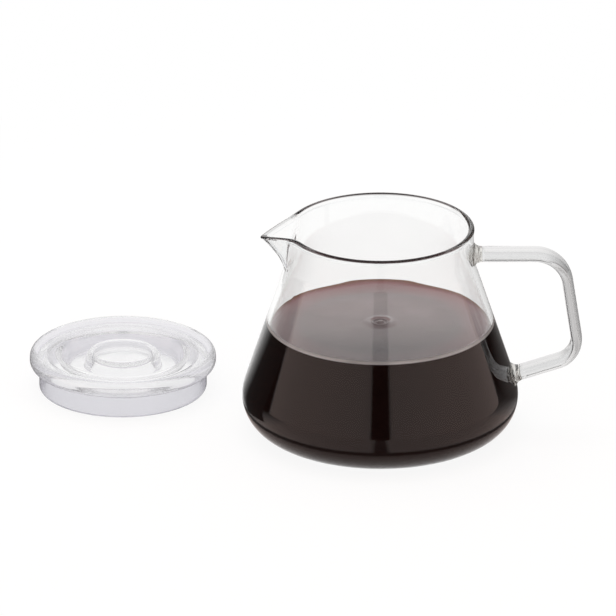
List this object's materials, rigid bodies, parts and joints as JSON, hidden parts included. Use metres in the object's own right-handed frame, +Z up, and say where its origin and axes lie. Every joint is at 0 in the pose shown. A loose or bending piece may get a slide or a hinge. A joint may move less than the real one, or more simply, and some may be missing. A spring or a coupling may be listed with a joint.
{
  "type": "coffee server carafe",
  "caption": "Glass coffee server: a conical vessel with a pulled pouring lip, a fused bent-glass side handle, a lift-off glass lid and its coffee.",
  "frame": {"origin": "centre of the foot ring, on the table under the vessel's axis", "axes": "+Z up along the vessel's axis, +X from the axis towards the handle, so the pouring lip points along -X; the taken-off lid stands on the same table at -X +Y"},
  "size_m": [0.2409, 0.1467, 0.094],
  "materials": {
    "vessel_glass": "clear fire-polished borosilicate glass",
    "handle_glass": "clear fire-polished borosilicate glass bar",
    "lid_glass": "clear pressed glass with a faint cool tint",
    "coffee": "black coffee, clear and very dark brown, with a still mirror-like surface"
  },
  "bodies": {
    "carafe": {"carafe_body": "vessel_glass", "handle": "handle_glass", "upper_weld": "handle_glass", "lower_weld": "handle_glass", "coffee": "coffee"},
    "lid": {"lid": "lid_glass"}
  },
  "joints": [
    {"name": "lid_lift", "type": "slide", "parent": "carafe", "child": "lid", "axis": [0, 0, 1], "range_m": [0, 0.15]}
  ]
}
